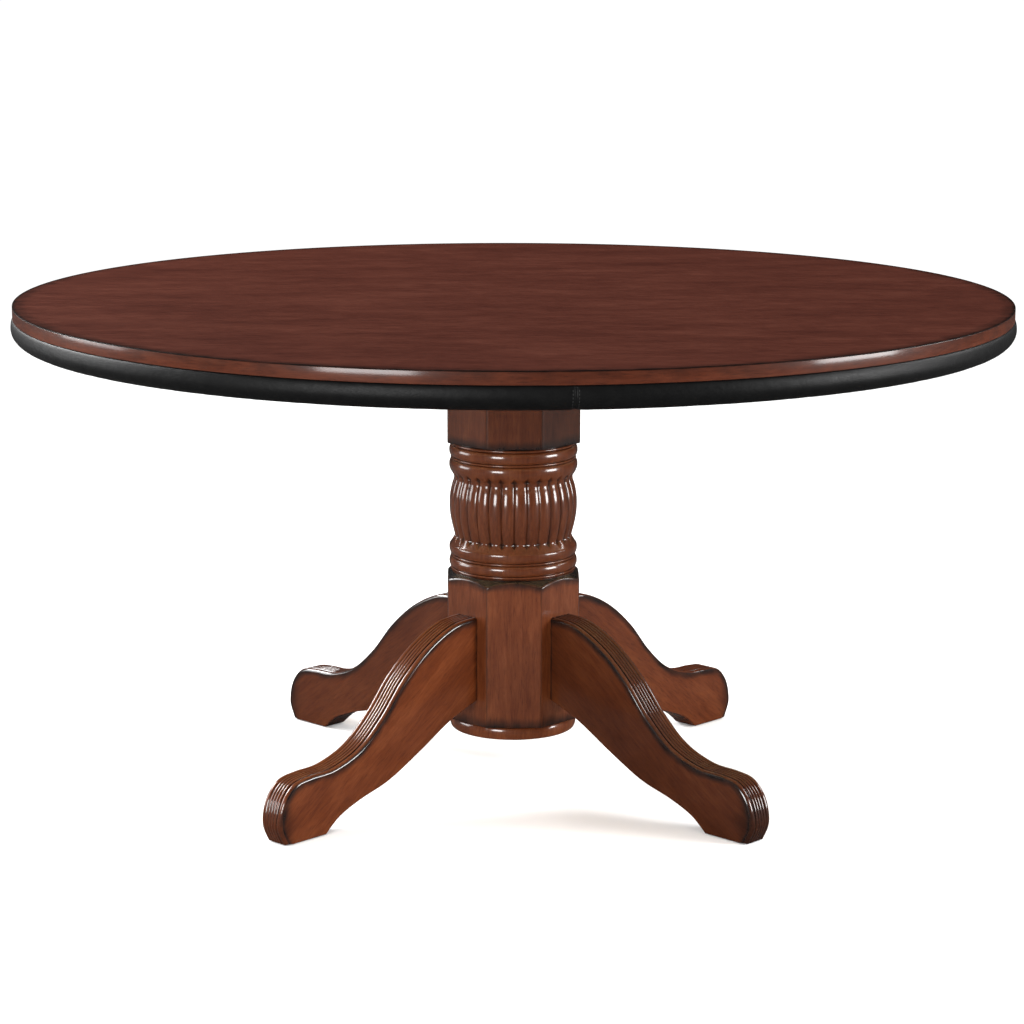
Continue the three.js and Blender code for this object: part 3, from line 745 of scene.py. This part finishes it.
def leg_mesh():
    """Vertices, faces, grain, glaze of one leg lying along +X, in millimetres."""
    crest, tangent = spline(LEG_CREST, 12)
    under, _ = spline(LEG_UNDERSIDE, 16)
    steps = len(crest) - len(under)
    foot = np.linspace(under[-1], (FOOT_TIP, FOOT), steps + 1)[1:]
    under = np.vstack([under, foot])
    inward = np.column_stack([tangent[:, 1], -tangent[:, 0]])
    inward[0] = (0, -1)
    section = crest_section()
    falls = np.array([0.5, 2, 4, 6.5, 9.5, 13, 18])  # distances down the side face below the crest's edge
    loops, glaze = [], []
    for low, top, normal in zip(under, crest, inward):
        shoulder = top + normal * section[0, 1]
        down = low - shoulder
        length = np.linalg.norm(down)
        share = np.append(np.minimum(falls / length, 0.45), [0.6, 0.8, 1 - UNDER_EASE / length])
        side = [(shoulder + down * f, 0.8 * (1 - smoothstep(f * length, 1, 13))) for f in share]
        end = 0.75 * (1 - smoothstep(top[0] - LEG_CREST[0][0], 0, 7))
        flat = HALF_WIDTH - UNDER_EASE
        points = [(low[0], flat, low[1], 0.3), (low[0], -flat, low[1], 0.3)]
        points += [(p[0], -HALF_WIDTH, p[1], g) for p, g in side[::-1]]
        worn = REED_FADE * (1 - smoothstep(top[1], 22, 62)) * (top[0] > 480)
        for across, depth, shade in section:
            edge = smoothstep(abs(across), 17, HALF_WIDTH) * SIDE_EDGE
            depth = depth + (edge - depth) * worn
            x, z = top + normal * depth
            points.append((x, across, z, shade * (1 - worn)))
        points += [(p[0], HALF_WIDTH, p[1], g) for p, g in side]
        loops.append([(x, y, z) for x, y, z, _ in points])
        glaze.append([max(g, end) for *_, g in points])
    vertices = np.array(loops).reshape(-1, 3)
    vertices[:, 2] = np.maximum(vertices[:, 2], FOOT)
    count = len(loops[0])
    faces = [face[::-1] for face in grid_faces(len(loops), count, False, True)]
    faces.append(tuple(range(count)))
    faces.append(tuple(range((len(loops) - 1) * count, len(loops) * count))[::-1])
    x, y, z = vertices.T
    level, rise = math.cos(GRAIN_TILT), math.sin(GRAIN_TILT)
    grain = np.column_stack([x * level + z * rise, y, -x * rise + z * level])
    return vertices, faces, grain, np.array(glaze).ravel()


def add_legs():
    vertices, faces, grain, glaze = leg_mesh()
    for number, (place, degrees) in enumerate(LEG_PLACES.items()):
        turn = math.radians(degrees)
        cos, sin = math.cos(turn), math.sin(turn)
        placed = vertices @ np.array([[cos, -sin, 0], [sin, cos, 0], [0, 0, 1]]).T * MM
        leg = new_object(f"scrolled_leg_{place}", placed, faces, "stained_leg", sharp=38, attributes={
            "grain": (grain + (0, 0, 400 * (number + 1))) * MM, "glaze": glaze,
            "tone_and_shade": LEG_TONES_AND_SHADE[place] * toe_front_painted_shade(vertices)})
        declare(leg, BASE, "stained_wood", f"leg_{place}")


# ---- armrest and playing surface ----
# Metres; seams are turning angles in degrees.
SKIN = 1.2 * MM
WIDEST_DROP = 14 * MM  # from the armrest's top down to its widest point, and the upper curve's height
UPPER_REACH = 5 * MM  # width of the outer face's upper curve
LOWER_REACH, LOWER_DROP = 24 * MM, 21 * MM  # width and height of its lower curve
LIP_REACH, LIP_DROP = 15 * MM, 9 * MM  # width and height of the inner lip's curve
UNDERSIDE_EDGE = 0.705  # radius of the cover's edge under the deck
STITCHED_FROM = 0.741  # radius past which the stitches show
OUTER_RADIUS = 0.76
SEAMS = [-84.8 + 90 * i for i in range(4)]
SEAM_DEPTH, SEAM_WIDTH = 1.3 * MM, 1.3 * MM
PULL_DEPTH, PULL_WIDTH = 0.7 * MM, 9 * MM
RIPPLE = 0.22 * MM
RIPPLES = [(41, 0), (67, 1.3), (103, 2.1)]  # how many go round the rail, and where each starts
FREE_FROM, FREE_REACH = 0.70, 0.05  # past this radius the cover ripples, fully after the reach
STITCH_PITCH, STITCH_OFFSET, STITCH_SINK = 5 * MM, 4.2 * MM, 0.45 * MM


def armrest_face(inset):
    """The cover's outline [radius, height] from under the rail, round its outer face, over to the cloth."""
    _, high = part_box("armrest_vinyl")
    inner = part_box("playing_cloth")[1].x + 1.0 * MM
    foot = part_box("playing_cloth")[0].z - 3.4 * MM
    outer, top = high.x, high.z
    widest = top - WIDEST_DROP

    def curve(x, z, reach, drop, start, stop, steps):
        return ellipse_arc((x, z), (reach - inset, drop - inset), start, stop, steps)

    return np.vstack([
        curve(outer - LOWER_REACH, widest, LOWER_REACH, LOWER_DROP, -90, 0, 18),
        curve(outer - UPPER_REACH, widest, UPPER_REACH, WIDEST_DROP, 0, 90, 14)[1:],
        [[outer - 60 * MM, top - inset], [inner + 60 * MM, top - inset]],
        curve(inner + LIP_REACH, top - LIP_DROP, LIP_REACH, LIP_DROP, 90, 180, 12),
        [[inner + inset, foot]],
    ])


def seam_distance(turn, radius):
    """How far along the rail a point is from the nearest seam, in metres, signed."""
    gap = (np.degrees(turn)[:, None] - np.array(SEAMS)[None, :] + 180) % 360 - 180
    nearest = gap[np.arange(len(gap)), np.abs(gap).argmin(1)]
    return np.radians(nearest) * radius


def rail_angles():
    """Turning angles round the rail, closer together at the seams."""
    close = np.degrees(np.array([0.6, 1.2, 2.0, 3.0, 4.5, 7, 11, 17]) * MM / 0.75)
    near = [seam + sign * step for seam in SEAMS for step in close for sign in (-1, 1)]
    even = [angle for angle in np.arange(-180, 180, 0.5)
            if min(abs((angle - seam + 180) % 360 - 180) for seam in SEAMS) > 1.6]
    return np.radians(np.sort((np.array(even + near + SEAMS) + 180) % 360 - 180))


def drawn_in(turn, outside):
    """How far each point of the cover's outline is drawn in at each turn, by seams, pulls and ripples."""
    along = seam_distance(turn, OUTER_RADIUS)
    seam = np.exp(-(along / SEAM_WIDTH) ** 2) * SEAM_DEPTH
    pull = np.exp(-(along / PULL_WIDTH) ** 2) * PULL_DEPTH
    wave = RIPPLE * sum(np.sin(turn * count + start) for count, start in RIPPLES)
    radius, height = outside.T
    free = np.clip((radius - FREE_FROM) / FREE_REACH, 0, 1) * (height < height.max() - 2 * MM)
    rolled = (0.2 + 0.8 * (1 - smoothstep(height, 0.716, 0.738))) * free
    bulge = wave[:, None] * rolled[None] * 0.6
    depth = np.maximum(seam[:, None] + pull[:, None] + np.maximum(bulge, 0), 0) - np.minimum(bulge, 0)
    return depth * (free > 0) + seam[:, None] * 0.7 * (free <= 0)


def add_armrest():
    """The vinyl cover: a thin closed skin round the rail, drawn in at its seams and slightly rippled."""
    low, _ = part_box("armrest_vinyl")
    outside, inside = armrest_face(0), armrest_face(SKIN)
    section = np.vstack([
        [[UNDERSIDE_EDGE, low.z]], outside, inside[::-1], [[UNDERSIDE_EDGE, low.z + SKIN]]])
    tangent = np.gradient(outside, axis=0)
    tangent /= np.linalg.norm(tangent, axis=1)[:, None]
    inward = np.column_stack([-tangent[:, 1], tangent[:, 0]])
    turn = rail_angles()
    rings = np.repeat(section[None], len(turn), 0)
    rings[:, 1:1 + len(outside)] += drawn_in(turn, outside)[..., None] * 0.85 * inward[None]
    vertices = np.stack([rings[..., 0] * np.cos(turn)[:, None], rings[..., 0] * np.sin(turn)[:, None],
                         rings[..., 1]], -1).reshape(-1, 3)
    faces = grid_faces(len(turn), len(section), True, True)
    vinyl = new_object("armrest_cover", vertices, faces, "vinyl", sharp=50)
    declare(vinyl, BASE, "armrest_vinyl", "armrest_vinyl")
    add_stitches(outside, inward)
    add_staples(UNDERSIDE_EDGE + 8 * MM, low.z)


def capsule(start, end, width, height, outward, rings=5, around=8):
    """A closed, rounded thread or wire between two points, as vertices and faces."""
    start, end, outward = (np.asarray(v, float) for v in (start, end, outward))
    run = end - start
    side = np.cross(run, outward)
    side /= np.linalg.norm(side)
    vertices, faces = [], []
    for i in range(rings):
        t = i / (rings - 1)
        thick = math.sqrt(max(1 - (2 * t - 1) ** 4, 0.02))
        for j in range(around):
            a = 2 * math.pi * j / around
            offset = side * math.cos(a) * width / 2 + outward * math.sin(a) * height / 2
            vertices.append(start + run * t + offset * thick)
    faces = grid_faces(rings, around, False, True)
    faces.append(tuple(range(around))[::-1])
    faces.append(tuple(range((rings - 1) * around, rings * around)))
    return vertices, faces


def join_parts(parts):
    """One list of vertices and one of faces from many."""
    vertices, faces = [], []
    for some, around in parts:
        faces += [tuple(i + len(vertices) for i in face) for face in around]
        vertices += list(some)
    return vertices, faces


def standing(point, turn):
    """A [radius, height] pair turned about Z to its place."""
    return np.array([point[0] * math.cos(turn), point[0] * math.sin(turn), point[1]])


def add_stitches(outline, inward):
    """Rows of stitches along both sides of each seam of the cover, over its rounded outer face."""
    shown = outline[:, 0] > STITCHED_FROM
    path, normal = outline[shown], inward[shown]
    gone = np.append(0, np.cumsum(np.linalg.norm(np.diff(path, axis=0), axis=1)))
    parts = []
    for seam in SEAMS:
        for side in (-1, 1):
            turn = math.radians(seam) + side * STITCH_OFFSET / OUTER_RADIUS
            for place in np.arange(2 * MM, gone[-1] - STITCH_PITCH, STITCH_PITCH):
                ends = []
                for at in (place, place + 0.72 * STITCH_PITCH):
                    point = [np.interp(at, gone, path[:, i]) for i in range(2)]
                    facing = [np.interp(at, gone, normal[:, i]) for i in range(2)]
                    out = -standing(facing, turn)
                    ends.append(standing(point, turn) - out * STITCH_SINK)
                parts.append(capsule(*ends, 0.8 * MM, 0.7 * MM, out))
    vertices, faces = join_parts(parts)
    threads = new_object("cover_stitching", vertices, faces, "thread", sharp=60)
    declare(threads, BASE, "armrest_vinyl")


def add_staples(radius, underside, count=144):
    """The ring of staples that holds the cover's edge to the underside of the deck."""
    parts = []
    for turn in np.linspace(0, 2 * math.pi, count, endpoint=False):
        middle = np.array([radius * math.cos(turn), radius * math.sin(turn), underside - 0.35 * MM])
        run = np.array([-math.sin(turn), math.cos(turn), 0]) * 5 * MM
        parts.append(capsule(middle - run, middle + run, 1.2 * MM, 0.7 * MM, (0, 0, -1)))
    vertices, faces = join_parts(parts)
    staples = new_object("cover_staples", vertices, faces, "steel", sharp=60)
    declare(staples, BASE, "zinc_steel")


def add_playing_cloth():
    low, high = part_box("playing_cloth")
    section = [[HUB, low.z], [high.x, low.z], [high.x, high.z], [0.6, high.z], [0.4, high.z], [HUB, high.z]]
    vertices, faces = spin(section, False)
    cloth = new_object("playing_surface_cloth", vertices, faces, "cloth")
    declare(cloth, BASE, "playing_cloth", "playing_cloth")


# ---- boards and hardware under the top and inside the pedestal ----
# Each kind of board's look, and the width in millimetres of its eased edges.
BOARDS = {
    "deck_batten": ("plywood", 2.0),
    "mounting_plate": ("plywood", 1.5),
    "pedestal_top_plug": ("plywood", 1.0),
    "locating_cleat": ("plywood", 1.2),
    "game_top_deck": ("core_board", 0.8),
}
# Millimetres; a fastener's rows are [radius, height, apothem of its six flats].
THREAD_PITCH, THREAD_DEPTH = 1.25, 0.55
BOLT = 4.0
HEX_FLAT, HEX_CORNER = 6.5, 7.5
BOLT_HEAD = 5.3
SCREW_SHANK, SCREW_HEAD, SCREW_HEAD_HEIGHT = 2.0, 4.4, 2.5
SLOT_REACH, SLOT_HALF_WIDTH, SLOT_DEPTH = 2.4, 0.55, 0.9
GLIDE = 12.0
AXIS_CAP = 0.5  # radius of the small flat face where a fastener meets its axis
LEG_BOLT = 54.0, 160.0  # distances of its ends from the pedestal's axis
LEG_BOLT_HEIGHTS = {"lower": 182.0, "upper": 238.0}
LEG_NUT, NUT_BORE = (59.2, 65.7), 4.3  # distances of its faces from the axis, and its bore's radius


def body_of(name):
    """The body that a node belongs to, by its name."""
    return TOP if name.startswith(("dining_top", "locating_cleat", "cleat_screw")) else BASE


def board_attributes(vertices):
    """Grain along X, with no tint and no glaze."""
    count = len(vertices)
    return {"grain": vertices, "tone_and_shade": np.full(count, PLAIN_TONE), "glaze": np.zeros(count)}


def add_boards():
    """The plain boards, with their sharp edges eased."""
    for name, node in nodes.items():
        for start, (look, width) in BOARDS.items():
            if not name.startswith(start):
                continue
            shape = bmesh.new()
            shape.from_mesh(node.data)
            shape.transform(node.matrix_world)
            bmesh.ops.dissolve_limit(shape, angle_limit=math.radians(2), verts=shape.verts, edges=shape.edges)
            rims = [edge for edge in shape.edges if edge.calc_face_angle(0) > math.radians(50)]
            bmesh.ops.bevel(
                shape, geom=rims, offset=width * MM, segments=3, profile=0.5, affect="EDGES",
                clamp_overlap=True)
            vertices = np.array([v.co for v in shape.verts])
            faces = [tuple(v.index for v in face.verts) for face in shape.faces]
            shape.free()
            board = new_object(f"{name}_eased", vertices, faces, look, attributes=board_attributes(vertices))
            declare(board, body_of(name), look, name)


def fastener(section, closed=False, segments=36):
    """Turns a fastener's rows about Z; a row without an apothem is round."""
    radius, height, flats = np.array([(*row, 0)[:3] for row in section], float).T
    turn = np.linspace(0, 2 * math.pi, segments, endpoint=False)[:, None]
    facing = np.cos(turn % (math.pi / 3) - math.pi / 6)
    radius = np.where(flats > 0, np.minimum(radius, flats / facing), radius)
    vertices = np.stack([radius * np.cos(turn), radius * np.sin(turn), height + 0 * turn], -1).reshape(-1, 3)
    return vertices, turned_faces(segments, len(section), closed)


def thread_rows(radius, start, stop):
    """A screw thread's outline as close rings, from one height to another."""
    rows = []
    for height in np.arange(start, stop - THREAD_PITCH, THREAD_PITCH):
        rows += [(radius - THREAD_DEPTH, height), (radius, height + THREAD_PITCH / 2)]
    return rows + [(radius, stop)]


def upright(name):
    """The middle of a node's box in plan, and its lowest and highest points, in millimetres."""
    low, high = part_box(name)
    return (low.x + high.x) / 2 / MM, (low.y + high.y) / 2 / MM, low.z / MM, high.z / MM


def mounting_bolt(low, high):
    head = low + BOLT_HEAD
    return [
        (AXIS_CAP, low), (5.9, low, HEX_FLAT), (HEX_CORNER, low + 0.9, HEX_FLAT),
        (HEX_CORNER, head - 0.3, HEX_FLAT), (7.1, head, HEX_FLAT), (BOLT, head),
        *thread_rows(BOLT, head + 30, high - 1), (3.0, high), (AXIS_CAP, high)]


def cleat_screw(low, high):
    head = low + SCREW_HEAD_HEIGHT
    return [
        (0.4, low), (1.0, low), (1.6, low), (2.2, low), (2.8, low), (3.9, low + 0.25),
        (SCREW_HEAD, low + 0.9), (SCREW_HEAD, head - 0.2), (4.0, head), (SCREW_SHANK, head),
        *thread_rows(SCREW_SHANK, head + 2, high - 2), (0.4, high)]


def foot_glide(low, high):
    return [
        (AXIS_CAP, low + 0.8), (2.6, low + 0.8), (3.0, low), (10.6, low), (11.6, low + 0.3), (GLIDE, low + 1),
        (GLIDE, high - 0.4), (11.6, high), (AXIS_CAP, high)]


def add_slots(vertices, low):
    """Sinks a crossed drive recess into a screw's head."""
    near = np.hypot(vertices[:, 0], vertices[:, 1]) < SLOT_REACH
    crossed = np.abs(vertices[:, :2]).min(1) < SLOT_HALF_WIDTH
    vertices[near & crossed & (vertices[:, 2] < low + 0.1), 2] += SLOT_DEPTH


UPRIGHT = {
    "mounting_bolt": (mounting_bolt, "steel", "zinc_steel"),
    "cleat_screw": (cleat_screw, "steel", "zinc_steel"),
    "foot_glide": (foot_glide, "nylon", "nylon"),
}


def add_upright_fasteners():
    for name in nodes:
        for start, (rows, look, slot) in UPRIGHT.items():
            if not name.startswith(start):
                continue
            x, y, low, high = upright(name)
            vertices, faces = fastener(rows(low, high))
            if start == "cleat_screw":
                add_slots(vertices, low)
            piece = new_object(f"{name}_made", (vertices + (x, y, 0)) * MM, faces, look, sharp=30)
            declare(piece, body_of(name), slot, name)


def add_leg_fasteners():
    """Two hanger bolts a leg, each with a nut inside the pedestal, lying along the leg."""
    inner, outer = LEG_BOLT
    bolt_rows = [
        (AXIS_CAP, inner), (3.2, inner), *thread_rows(BOLT, inner + 0.8, 70), (BOLT, 72), (BOLT, 120),
        *thread_rows(BOLT, 122, 156), (AXIS_CAP, outer)]
    inner, outer = LEG_NUT
    nut_rows = [
        (NUT_BORE, inner), (6.0, inner, HEX_FLAT), (HEX_CORNER, inner + 0.9, HEX_FLAT),
        (HEX_CORNER, outer - 0.9, HEX_FLAT), (6.0, outer, HEX_FLAT), (NUT_BORE, outer)]
    for place, degrees in LEG_PLACES.items():
        turn = math.radians(degrees)
        outward, across = (math.cos(turn), math.sin(turn), 0), (-math.sin(turn), math.cos(turn), 0)
        axes = np.array([(0, 0, -1), across, outward])
        for level, height in LEG_BOLT_HEIGHTS.items():
            for kind, rows, closed in (("leg_bolt", bolt_rows, False), ("leg_nut", nut_rows, True)):
                vertices, faces = fastener(rows, closed)
                vertices = (vertices @ axes + (0, 0, height)) * MM
                name = f"{kind}_{place}_{level}"
                piece = new_object(f"{name}_made", vertices, faces, "steel", sharp=30)
                declare(piece, BASE, "zinc_steel", name)


# ---- carried-over CAD nodes: the hidden core and foams ----
def dress_cad_nodes():
    for name, look in {"armrest_core": "plywood", "armrest_foam": "foam", "playing_foam": "foam"}.items():
        mesh = nodes[name].data
        mesh.materials.clear()
        mesh.materials.append(MATERIALS[look])
        add_attributes(mesh, board_attributes(np.array([v.co for v in mesh.vertices])))


def add_floor():
    """A plain pale floor, seen dark in mirror reflections."""
    bpy.ops.mesh.primitive_plane_add(size=FLOOR_WIDTH)
    floor = bpy.context.active_object
    floor.name = "floor"
    floor.data.materials.append(MATERIALS["floor"])


bpy.context.scene.view_settings.view_transform = "Standard"
add_camera()
add_world()
add_lights()
add_floor()
add_dining_top()
add_staves()
add_legs()
add_armrest()
add_playing_cloth()
add_boards()
add_upright_fasteners()
add_leg_fasteners()
dress_cad_nodes()
